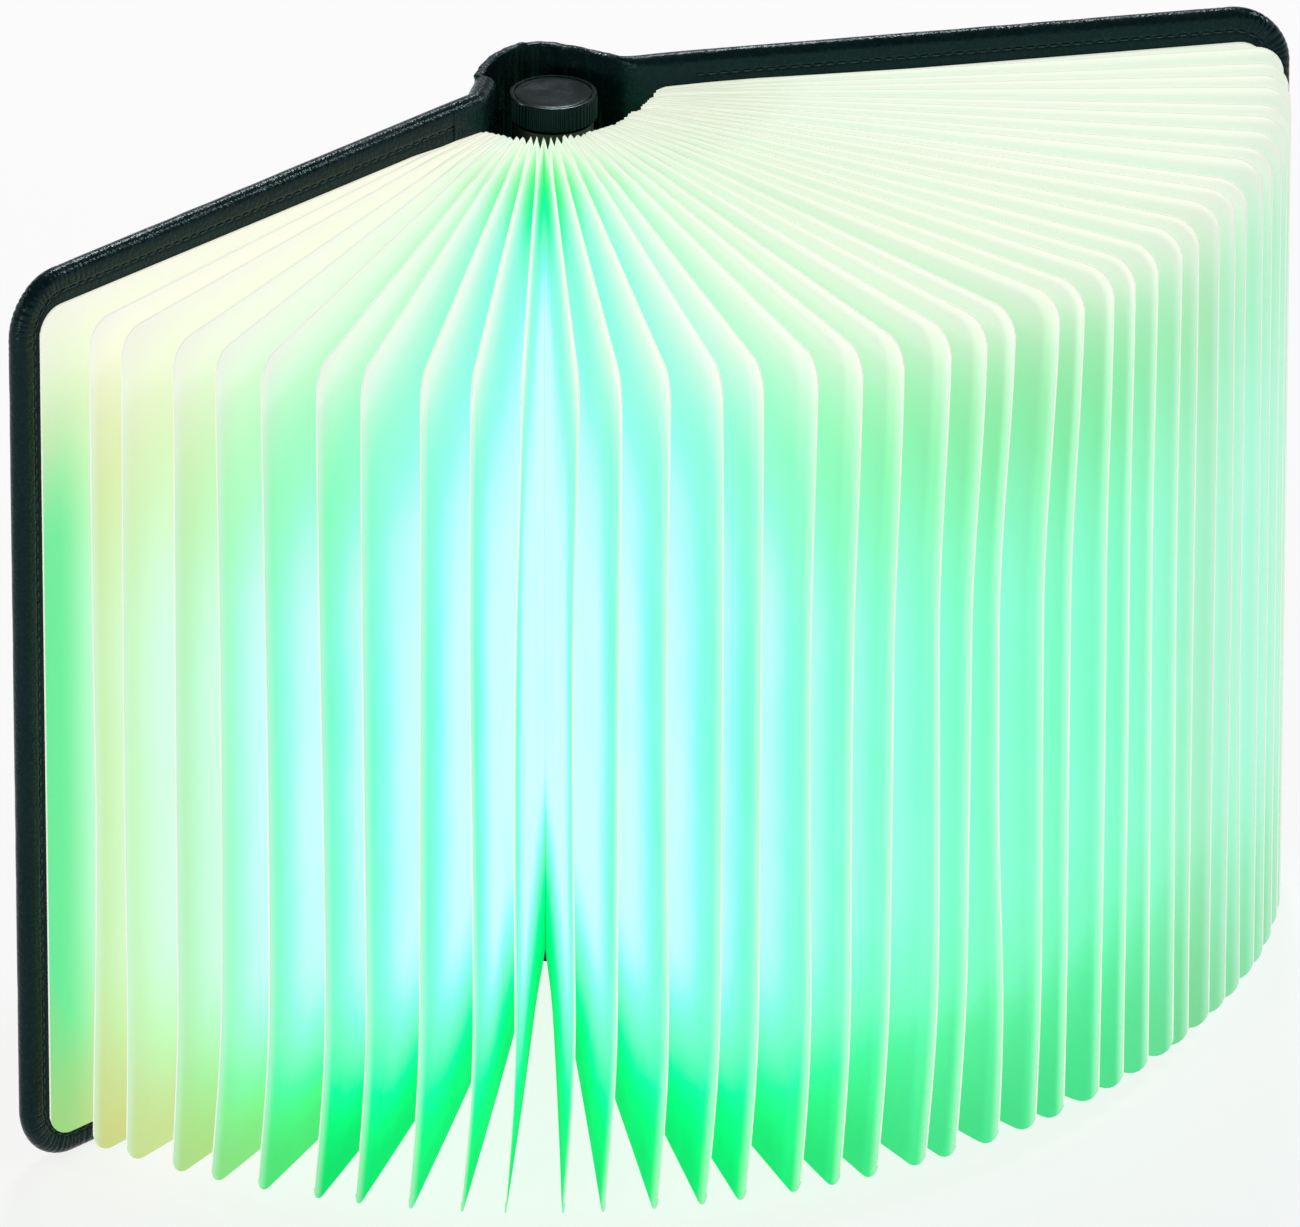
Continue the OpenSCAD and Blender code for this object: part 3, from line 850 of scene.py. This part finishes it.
def grow_leaf(name, flat, tree, swing, plane, place, leaf, paper, reach, leans):
    """One bowed leaf or end sheet. leans holds its own values, in the order of LEAN_INPUTS."""
    # Painted light set for one view: glow_depth is how deep the leaf shows between its neighbours, seen from a
    # heading near the camera's. The painted glow grows over that depth.
    open_angle = abs(math.sin(swing.turn - paper.heading))
    glow_depth = min(50.0, max(7.5, 9.5 / max(open_angle, 0.01)))
    return grown(name, add_object(name + "_flat", flat), tree, {
        "Reach": reach, "Height": LAMP_HEIGHT, "Plane": plane, "Turn": swing.turn,
        "Pivot": swing.pivot, "Place": place, "Glow Depth": glow_depth,
        "Material": lit_paper(paper, reach), **dict(zip(LEAN_INPUTS, leans))})


class LAMP_OT_leaves(Operator):
    """Folds the paper leaves and glues the end sheets to the covers"""
    bl_idname = "book_lamp.leaves"
    bl_label = "Paper leaves"

    def execute(self, context):
        leaf, paper = context.scene.lamp_leaf, context.scene.lamp_paper
        tree = leaf_tree()
        chance = random.Random(leaf.seed)
        pivots = [JOINTS[side + "_cover_open"]["pos_m"][0] for side in SIDES]
        middle = sum(pivots) / 2
        spread = (pivots[1] - pivots[0]) / 2
        swings = [Swing(node + "_turn") for node in LEAF_NODES]
        inner_ends = []
        for node, swing in zip(LEAF_NODES, swings):
            (left, right), (start, _), _ = swing.span(node)
            inner_ends.append(swing.point((left + right) / 2, start, 0))
        for number, (node, swing) in enumerate(zip(LEAF_NODES, swings), 1):
            near = inner_ends[max(0, number - 2):number + 1]
            gap = (near[-1] - near[0]).length / (len(near) - 1)
            parting = (gap / 2 + leaf.touch - SHEET_HALF) / leaf.flare
            (left, right), (start, reach), (bottom, top) = swing.span(node)
            place = (swing.pivot.x - middle) / spread
            if number == 1:
                flat = flat_leaf(leaf, reach, start, bottom, top)
            lean_top, lean_foot = leaf_lean(place)
            leans = (leaf.top_lean * lean_top, leaf.foot_lean * lean_foot,
                     CLOSE_LEAVES.get(number, 0) * MM, leaf.wave * chance.uniform(0.4, 1.0),
                     chance.uniform(0.0, 2 * math.pi),
                     leaf.inner_drop * (0.45 + 0.55 * smoothstep(0.45, -0.1, place)
                                        + chance.uniform(-0.15, 0.25)),
                     1 + leaf.right_reach / reach * smoothstep(0.3, 0.75, place), parting,
                     BEIGE_LEAVES.get(number, chance.uniform(0.0, 0.25)))
            piece = grow_leaf(node + "_paper", flat, tree, swing, (left + right) / 2, place,
                              leaf, paper, reach, leans)
            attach(piece, node + "_body")
            tuple(swing.point((left + right) / 2, 0, 0))
            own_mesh(piece)
            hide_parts(node)
        for side, hand in SIDES.items():
            node = side + "_end_sheet"
            swing = cover_swing(side)
            (low, high), _, _ = swing.span(node)
            flat = flat_leaf(leaf, reach, start, bottom, top - leaf.sheet_drop)
            piece = grow_leaf(node + "_paper", flat, tree, swing, hand * (low + high) / 2, hand,
                              leaf, paper, reach, (0, 0, 0, 0, 0, leaf.inner_drop, 1, 0, 0))
            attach(piece, side + "_cover")
            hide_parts(node)
        return {"FINISHED"}


# Covers

def rounded_outline(low, high, hinge_corner, corner, fine_reach):
    """Points along a cover's edge as along, up, the outward normal and the pleats' weight."""
    fine, coarse, turn_steps = 0.3 * MM, 1.6 * MM, 5
    corners = [(low[0], low[1], hinge_corner, 180), (high[0], low[1], corner, 270),
               (high[0], high[1], corner, 0), (low[0], high[1], hinge_corner, 90)]
    centres = [(x + (r if x == low[0] else -r), z + (r if z == low[1] else -r), r, a)
               for x, z, r, a in corners]
    points = []
    for index, (x, z, r, angle) in enumerate(centres):
        pleated = r == corner
        steps = round(r * math.pi / 2 / fine) if pleated else turn_steps
        for i in range(steps + 1):
            a = math.radians(angle + 90 * i / steps)
            points.append((x + r * math.cos(a), z + r * math.sin(a), math.cos(a), math.sin(a),
                           1.0 if pleated else 0.3))
        nx, nz, nr, _ = centres[(index + 1) % 4]
        a = math.radians(angle + 90)
        start = Vector((x + r * math.cos(a), z + r * math.sin(a)))
        end = Vector((nx + nr * math.cos(a), nz + nr * math.sin(a)))
        run, total = 0.0, (end - start).length

        def to_pleats(gone):
            """Distance to the nearer pleated corner."""
            return min(gone if pleated else total, total - gone if nr == corner else total)

        while True:
            run += fine if to_pleats(run) < fine_reach else coarse
            if run > total - fine:
                break
            spot = start.lerp(end, run / total)
            points.append((spot.x, spot.y, math.cos(a), math.sin(a),
                           smoothstep(fine_reach, 0.0, to_pleats(run))))
    return points


def cover_rings(cover, inner, outer, deepest):
    """Rings from the middle of the inner face over the rolled edge to the middle of the outer.

    Each is its distance from the edge, its place across and how much it faces out and over.
    """
    middle, half = (inner + outer) / 2, (outer - inner) / 2
    swell, roll_steps, seam_rings = 0.15 * MM, 18, 15

    def bell(inset, centre, width):
        return math.exp(-((inset - centre) / width) ** 2)

    def groove(inset, seam):
        return cover.groove * bell(inset, seam, 0.55 * MM)

    inner_insets = [deepest, *(i * MM for i in (50, 30, 16, 10, 8)),
                    *((7.0 - 0.3 * i) * MM for i in range(seam_rings))]
    outer_insets = [*((2.8 + 0.35 * i) * MM for i in range(seam_rings)),
                    *(i * MM for i in (9, 11, 14, 18, 23, 30, 38, 48, 60)), deepest]
    rings = []
    for inset in inner_insets:
        sheet_bed = 0.12 * MM * smoothstep(5.2 * MM, 6.2 * MM, inset)
        rings.append((inset, inner + groove(inset, cover.inner_seam) + sheet_bed, 0.0, -1.0))
    for i in range(roll_steps + 1):
        a = -math.pi / 2 + math.pi * i / roll_steps
        rings.append((cover.roll * (1 - math.cos(a)), middle + half * math.sin(a),
                      math.cos(a), math.sin(a)))
    for inset in outer_insets:
        raised = swell * bell(inset, 3.4 * MM, 1.4 * MM) - swell
        rings.append((inset, outer + raised - groove(inset, cover.outer_seam), 0.0, 1.0))
    return rings


def cover_shell(side, cover):
    """The leatherette skin of one cover as a closed shell that follows its rounded outline."""
    swing = cover_swing(side)
    (inner, outer), (start, reach), (bottom, top) = swing.span(side + "_cover_skin")
    pleats_reach = 17 * MM
    outline = rounded_outline((start, bottom), (reach, top), cover.hinge_corner, cover.corner,
                              pleats_reach)
    walked = list(accumulate(math.hypot(spot[0] - last[0], spot[1] - last[1])
                             for last, spot in zip([outline[-1], *outline], outline)))
    rings = cover_rings(cover, inner, outer, (reach - start) / 2)
    points = []
    for inset, across, out, over in rings:
        band = smoothstep(9 * MM, 3 * MM, inset)
        for (x, z, nx, nz, weight), distance in zip(outline, walked):
            along = min(reach - inset, max(start + inset, x - nx * inset))
            up = min(top - inset, max(bottom + inset, z - nz * inset))
            swirl = noise.noise(Vector((x, z, across * 0.4)) * 300)
            crease = abs(math.sin(math.pi * distance / cover.pleat_pitch + 2.6 * swirl)) ** 0.6 - 0.8
            slow = noise.noise(Vector((x * 120, z * 120, across * 90 + 4)))
            uneven = 0.75 + 0.8 * noise.noise(Vector((x, z, 7)) * 180)
            lift = cover.pleat * weight * band * crease * uneven * (1 - 0.7 * out)
            lift = min(lift + 0.12 * MM * slow * band, 0.0)
            points.append(swing.point(across + over * lift, along + nx * out * lift,
                                      up + nz * out * lift))
    faces = ring_faces(len(rings), len(outline))
    piece = shell(side + "_cover_leather", points, faces, leatherette(), sharp=180)
    return swing, piece, (inner, outer), (start, reach), (bottom, top)


def seam_path(name, swing, across, low, high, inset, corner):
    """A polyline along a seam, as a mesh of edges that runs round a cover's three free sides."""
    radius = max(corner - inset, 2 * MM)
    x0, x1 = low[0] + 8 * MM, high[0] - inset
    z0, z1 = low[1] + inset, high[1] - inset
    turns = 12
    spots = [(x0, z0)]
    for cx, cz, angle in ((x1 - radius, z0 + radius, -90), (x1 - radius, z1 - radius, 0)):
        for i in range(turns + 1):
            a = math.radians(angle + 90 * i / turns)
            spots.append((cx + radius * math.cos(a), cz + radius * math.sin(a)))
    spots.append((x0, z1))
    mesh = bpy.data.meshes.new(name)
    mesh.from_pydata([swing.point(across, x, z) for x, z in spots],
                     [(i, i + 1) for i in range(len(spots) - 1)], [])
    return add_object(name, mesh)


class LAMP_OT_covers(Operator):
    """Draws the leatherette over the two covers and stitches their seams"""
    bl_idname = "book_lamp.covers"
    bl_label = "Covers"

    def execute(self, context):
        cover = context.scene.lamp_cover
        tree = stitch_tree()
        for side in SIDES:
            swing, piece, (inner, outer), (start, reach), (bottom, top) = cover_shell(side, cover)
            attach(piece, side + "_cover")
            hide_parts(side + "_cover_skin")
            for face, across, inset in (
                    ("inner", inner + cover.groove * 0.6, cover.inner_seam),
                    ("outer", outer - cover.groove * 0.9, cover.outer_seam)):
                name = f"{side}_{face}_stitches"
                path = seam_path(name + "_path", swing, across, (start, bottom), (reach, top),
                                 inset, cover.corner)
                stitches = grown(name, path, tree, {
                    "Stitch": cover.stitch, "Pitch": cover.stitch_pitch, "Thread": cover.thread,
                    "Material": thread()})
                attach(stitches, side + "_cover")
        return {"FINISHED"}


# Spine

def curve_point(a, b, c, d, share):
    rest = 1 - share
    return (a * rest ** 3 + b * 3 * rest * rest * share
            + c * 3 * rest * share * share + d * share ** 3)


def spine_route(swing, hand, spine, back_middle, face, start):
    """Points in plan along the strip, from the middle of its back to a little way along a cover."""
    past = swing.point(face, start + spine.overlap, 0)
    if hand > 0:
        bend = swing.point(face, spine.bend, 0)
        waist = bend + Vector((-5.2, 6.0, 0)) * MM
        curves = [(back_middle, back_middle + Vector((8.0, 0, 0)) * MM, waist, bend),
                  (bend, bend + (bend - waist) * 0.3, swing.point(face, start * 0.6, 0), past)]
        shares = (0.7, 0.3)
    else:
        meet = swing.point(face, start * 0.85, 0)
        curves = [(back_middle, back_middle - Vector((9.5, 0, 0)) * MM,
                   meet + Vector((6.6, 7.6, 0)) * MM, meet),
                  (meet, meet.lerp(past, 0.3), meet.lerp(past, 0.7), past)]
        shares = (0.85, 0.15)
    route = []
    for curve, share in zip(curves, shares):
        steps = round(spine.steps * share)
        route += [curve_point(*curve, i / steps) for i in range(steps)]
    return route + [past]


def spine_half(side, spine):
    """Half of the spine strip, from the middle of its back to a cover, and where its bend runs.

    The strip is the cover's outer skin. Where it meets the cover it thickens inwards, gently on
    the right and in a sharp crease on the left.
    """
    hand = SIDES[side]
    swing = cover_swing(side)
    (inner, outer), (start, _), _ = swing.span(side + "_cover_skin")
    low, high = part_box("spine_strip")
    half = spine.thickness / 2
    face = outer - half
    back_middle = Vector(((low.x + high.x) / 2, high.y - half, 0))
    route = spine_route(swing, hand, spine, back_middle, face, start)
    bottom, top = low.z, high.z
    pad_start, pad_full = (2 * MM, 8 * MM) if hand > 0 else (3.1 * MM, 4.3 * MM)
    levels, cap_steps = 70, 12

    def spread(share):
        """Sets the rows closer together towards the two hems."""
        return share - 0.11 * math.sin(2 * math.pi * share)

    points = []
    for index, spot in enumerate(route):
        ahead = route[min(index + 1, len(route) - 1)] - route[max(index - 1, 0)]
        if index == 0:
            ahead = Vector((hand, 0, 0))
        out = Vector((-ahead.y, ahead.x, 0)).normalized() * hand
        share = index / (len(route) - 1)
        offset = spot - swing.pivot
        pad = smoothstep(pad_start, pad_full, offset.dot(swing.reach)) * smoothstep(0.3, 0.5, share)
        depth = (offset.dot(swing.side) + half - inner) / max(0.5, out.dot(swing.side))
        depth = min(outer - inner, depth)
        thick = half + (depth / 2 + 0.04 * MM - half) * pad
        calm = smoothstep(0.0, 0.06, share) * smoothstep(1.0, 0.8, share)
        crinkle = spine.crinkle * calm * (1 - 0.75 * pad)
        cap = max(thick, spine.hem)

        def section(up, across, lift_up):
            """A point of the ring, at a height, across the strip and so far up its hem's round."""
            edge = smoothstep(2.5 * cap, cap, min(up - bottom, top - up))
            slow = noise.noise(Vector((spot.x * 150, spot.y * 150, up * 16)))
            fold = noise.noise(Vector((spot.x * 330, spot.y * 330, up * 30 + 3)))
            fine = noise.noise(Vector((spot.x * 900, spot.y * 900, up * 160 + 8)))
            lift = crinkle * (0.8 * slow - 1.5 * abs(fold) + 0.25 * fine + 0.15)
            lift = min(lift * (1 - 0.55 * edge), half * 0.4)
            sink = crinkle * 0.4 * (1 + noise.noise(spot * 150))
            sink *= smoothstep(0.4, 1.0, lift_up / cap) if up > (bottom + top) / 2 else 0
            return spot + out * (half - thick + across + lift) + Vector((0, 0, up - sink))

        def wall(up):
            """Half of the thickness at a height."""
            return thick + (cap - thick) * smoothstep(1.8 * cap, 0.0, min(up - bottom, top - up) - cap)

        ups = [bottom + cap + (top - bottom - 2 * cap) * spread(i / levels) for i in range(levels + 1)]
        arcs = [math.pi * i / cap_steps for i in range(1, cap_steps)]
        points += [section(up, wall(up), 0.0) for up in ups]
        points += [section(top - cap + cap * math.sin(a), cap * math.cos(a), cap * math.sin(a))
                   for a in arcs]
        points += [section(up, -wall(up), 0.0) for up in reversed(ups)]
        points += [section(bottom + cap - cap * math.sin(a), -cap * math.cos(a), cap * math.sin(a))
                   for a in arcs]
    ring = 2 * (levels + cap_steps)
    piece = shell(side + "_spine_leather", points, ring_faces(len(route), ring, True),
                  leatherette(), sharp=65)
    cover_edge = swing.point(face, start, 0)
    lead = Vector((1.0, 0.0, 0)) if hand > 0 else Vector((-0.5, -1.0, 0))
    share = (cover_edge - back_middle).dot(lead) / lead.length_squared
    return piece, back_middle, back_middle + lead * share


class LAMP_OT_spine(Operator):
    """Loops the leatherette spine strip round the back of the core"""
    bl_idname = "book_lamp.spine"
    bl_label = "Spine strip"

    def execute(self, context):
        for side in SIDES:
            piece, start, end = spine_half(side, context.scene.lamp_spine)
            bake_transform(piece)
            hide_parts("spine_strip")
        return {"FINISHED"}


# Knob

def lathe(name, profile, material, steps, sharp):
    """A closed solid of revolution about the upright axis through the origin."""
    points = []
    for radius, up in profile:
        for i in range(steps):
            a = 2 * math.pi * i / steps
            points.append((radius * math.cos(a), radius * math.sin(a), up))
    return shell(name, points, ring_faces(len(profile), steps), material, sharp)


class LAMP_OT_knob(Operator):
    """Turns the dimmer knob and sets its grip ribs"""
    bl_idname = "book_lamp.knob"
    bl_label = "Dimmer knob"

    def execute(self, context):
        knob = context.scene.lamp_knob
        low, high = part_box("dimmer_knob")
        shaft_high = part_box("dimmer_shaft")[1]
        nut_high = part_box("dimmer_nut")[1]
        bush_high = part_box("dimmer_body")[1]
        rib, bevel = knob.rib_height, 0.25 * MM
        grip = high.x - rib
        rim = grip - knob.rim
        bore, bore_end = shaft_high.x + 0.02 * MM, shaft_high.z + 0.1 * MM
        boss, boss_foot = 3.6 * MM, bush_high.z + 0.3 * MM
        recess, lid = nut_high.y + 1.0 * MM, low.z + 4.0 * MM
        profile = [(0, bore_end), (bore, bore_end), (bore, boss_foot), (boss, boss_foot),
                   (boss, lid), (recess, lid), (recess, low.z), (grip - bevel, low.z),
                   (grip, low.z + bevel), (grip, high.z - 2 * bevel),
                   (grip + rib * 0.7, high.z - 1.6 * bevel), (grip + rib * 0.75, high.z - bevel),
                   (grip + rib * 0.4, high.z - 0.2 * bevel), (grip, high.z), (rim, high.z)]
        groove_end, groove_rise, hollow, rounds = 0.6 * MM, 0.07 * MM, 0.2 * MM, 6
        profile += [(rim - inset, high.z - depth) for inset, depth in (
            (0.08 * MM, 0.06 * MM), (0.14 * MM, knob.dish), (0.3 * MM, knob.dish),
            (0.38 * MM, 0.12 * MM), (groove_end, groove_rise))]
        for share in (i / rounds for i in range(1, rounds + 1)):
            profile.append(((rim - groove_end) * (1 - share),
                            high.z - groove_rise - hollow * smoothstep(0, 0.8, share)))
        body = lathe("knob_body", profile, gloss_black(), 120, 35)
        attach(body, "knob")
        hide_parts("dimmer_knob")
        seed = add_object("knob_ribs_start", bpy.data.meshes.new("knob_ribs_start"))
        ribs = grown("knob_ribs", seed, rib_tree(), {
            "Count": knob.ribs, "Radius": grip - 0.02 * MM, "Bottom": low.z + bevel,
            "Height": high.z - low.z - 2.6 * bevel, "Rib": rib * 0.72, "Material": gloss_black()})
        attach(ribs, "knob")
        return {"FINISHED"}


# Core

def core_finishes():
    """The finish of each CAD node that stays."""
    steel = brushed("satin_steel", srgb(150, 152, 156), srgb(206, 208, 212), 0.28)
    return {
        "core_housing": moulded("core_plastic", srgb(22, 23, 25), srgb(36, 37, 40), 0.45),
        "core_diffuser": lit_diffuser(),
        "led_board": circuit("white_board", srgb(236, 238, 234), srgb(205, 208, 203)),
        "led_lights": glowing("diode_lens", srgb(236, 240, 150), srgb(250, 252, 205), 1.0),
        "battery_cells": moulded("cell_wrap", srgb(38, 84, 150), srgb(52, 104, 172), 0.3, 700.0),
        "control_board": circuit("green_board", srgb(20, 96, 56), srgb(34, 132, 80)),
        "charging_socket": steel,
        "dimmer_body": moulded("dimmer_plastic", srgb(20, 26, 28), srgb(32, 38, 40), 0.5),
        "dimmer_nut": brushed("satin_brass", srgb(176, 148, 84), srgb(220, 194, 124), 0.3),
        "dimmer_shaft": steel,
        "left_cover_board": greyboard(),
        "right_cover_board": greyboard(),
        "left_magnets": steel,
        "right_magnets": steel,
    }


class LAMP_OT_core(Operator):
    """Gives the core's pieces, the boards and the magnets their finishes"""
    bl_idname = "book_lamp.core"
    bl_label = "Core and inner pieces"

    def execute(self, context):
        for node, material in core_finishes().items():
            mesh = frame["nodes"][node].data
            mesh.materials.clear()
            mesh.materials.append(material)
        return {"FINISHED"}


# Stage

def seen_directly(graph):
    """One for camera, glossy and transmission rays, and nothing for the rays that light things."""
    path = graph.add("ShaderNodeLightPath").outputs
    glossy = graph.math("MAXIMUM", path["Is Glossy Ray"], path["Is Transmission Ray"])
    return graph.math("MAXIMUM", path["Is Camera Ray"], glossy)


def floor_material(white):
    material = bpy.data.materials.new("white_floor")
    graph = Graph.emptied(material)
    matte = graph.add("ShaderNodeBsdfPrincipled", {"Base Color": white, "Roughness": 0.9})
    bright = graph.add("ShaderNodeEmission", {"Color": white, "Strength": 1.0})
    both = graph.add("ShaderNodeMixShader", {
        0: graph.times(seen_directly(graph), 0.82), 1: matte.outputs[0], 2: bright.outputs[0]})
    graph.finish("ShaderNodeOutputMaterial", both.outputs[0])
    return material


def white_world(white, fill):
    """A white horizon under a dim ceiling, with less of it for the rays that light things."""
    world = bpy.data.worlds.new("studio")
    graph = Graph.emptied(world)
    direction = graph.add("ShaderNodeTexCoord").outputs["Generated"]
    up = graph.add("ShaderNodeSeparateXYZ", {0: direction}).outputs["Z"]
    sky = graph.mix(graph.smooth(up, 0.1, 0.4), white, srgb(84, 84, 84))
    strength = graph.smooth(seen_directly(graph), 0.0, 1.0, fill, 1.0)
    light = graph.add("ShaderNodeBackground", {"Color": sky, "Strength": strength})
    graph.finish("ShaderNodeOutputWorld", light.outputs[0])
    bpy.context.scene.world = world


def add_lamp(name, where, size, power, tint):
    lamp = bpy.data.lights.new(name, "AREA")
    lamp.shape = "DISK"
    lamp.size = size
    lamp.energy = power
    lamp.color = tint
    holder = add_object(name, lamp)
    holder.location = where
    holder.rotation_euler = (TARGET - Vector(where)).to_track_quat("-Z", "Y").to_euler()


def add_camera(stage):
    azimuth, elevation, roll = -stage.azimuth, stage.elevation, stage.roll
    forward = Vector((math.sin(azimuth) * math.cos(elevation), math.cos(azimuth) * math.cos(elevation),
                      -math.sin(elevation)))
    right = Vector((math.cos(azimuth), -math.sin(azimuth), 0))
    up = right.cross(forward)
    across = right * math.cos(roll) + up * math.sin(roll)
    above = up * math.cos(roll) - right * math.sin(roll)
    data = bpy.data.cameras.new("camera")
    data.lens = stage.focal
    data.shift_x = stage.shift_x
    data.shift_y = stage.shift_y
    data.clip_start, data.clip_end = 0.1, 20.0
    camera = add_object("camera", data)
    turn = Matrix((across, above, -forward)).transposed()
    camera.matrix_world = Matrix.Translation(TARGET - forward * stage.distance) @ turn.to_4x4()
    bpy.context.scene.camera = camera


# Name, place, diameter, power and tint of each lamp, and the point that all of them face.
LAMPS = (
    ("overhead", (0.63, 0.99, 1.45), 0.3, 12.0, (1.0, 1.0, 1.0)),
    ("right", (1.42, -0.12, 1.3), 0.3, 9.0, (0.94, 0.98, 1.0)),
    ("back_left", (-1.3, 1.0, 1.2), 0.25, 5.0, (1.0, 0.95, 0.85)),
    ("front_left", (-1.6, -1.15, 0.55), 0.35, 11.0, (1.0, 0.93, 0.8)))
TARGET = Vector((12.1, -27.8, 95.0)) * MM


class LAMP_OT_stage(Operator):
    """Lays the pale floor and sets up the lamps, the world and the camera"""
    bl_idname = "book_lamp.stage"
    bl_label = "Stage"

    def execute(self, context):
        stage = context.scene.lamp_stage
        half = stage.floor
        mesh = bpy.data.meshes.new("floor")
        mesh.from_pydata([(-half, -half, 0), (half, -half, 0), (half, half, 0), (-half, half, 0)],
                         [], [(0, 1, 2, 3)])
        mesh.materials.append(floor_material(stage.white))
        add_object("floor", mesh)
        white_world(stage.white, stage.fill)
        for lamp in LAMPS:
            add_lamp(*lamp)
        add_camera(stage)
        context.scene.view_settings.view_transform = "Standard"
        return {"FINISHED"}


# Add-on

STEPS = (LAMP_OT_stage, LAMP_OT_leaves, LAMP_OT_covers, LAMP_OT_spine, LAMP_OT_knob, LAMP_OT_core)
SETTINGS = {
    "lamp_leaf": LeafSettings, "lamp_paper": PaperSettings, "lamp_cover": CoverSettings,
    "lamp_spine": SpineSettings, "lamp_knob": KnobSettings, "lamp_stage": StageSettings}


class LAMP_PT_panel(Panel):
    bl_label = "Folding Book Lamp"
    bl_idname = "LAMP_PT_panel"
    bl_space_type = "VIEW_3D"
    bl_region_type = "UI"
    bl_category = "Book Lamp"

    def draw(self, context):
        for step in STEPS:
            self.layout.operator(step.bl_idname)
        for name, group in SETTINGS.items():
            box = self.layout.box()
            box.label(text=name.replace("lamp_", "").capitalize())
            for setting in group.__annotations__:
                box.prop(getattr(context.scene, name), setting)


def register():
    for group in (*SETTINGS.values(), *STEPS, LAMP_PT_panel):
        bpy.utils.register_class(group)
    for name, group in SETTINGS.items():
        setattr(bpy.types.Scene, name, PointerProperty(type=group))


def unregister():
    for name in SETTINGS:
        delattr(bpy.types.Scene, name)
    for group in (LAMP_PT_panel, *reversed(STEPS), *SETTINGS.values()):
        bpy.utils.unregister_class(group)


def main():
    register()
    bpy.ops.book_lamp.stage()
    bpy.ops.book_lamp.leaves()
    bpy.ops.book_lamp.covers()
    bpy.ops.book_lamp.spine()
    bpy.ops.book_lamp.knob()
    bpy.ops.book_lamp.core()


if __name__ == "__main__":
    main()
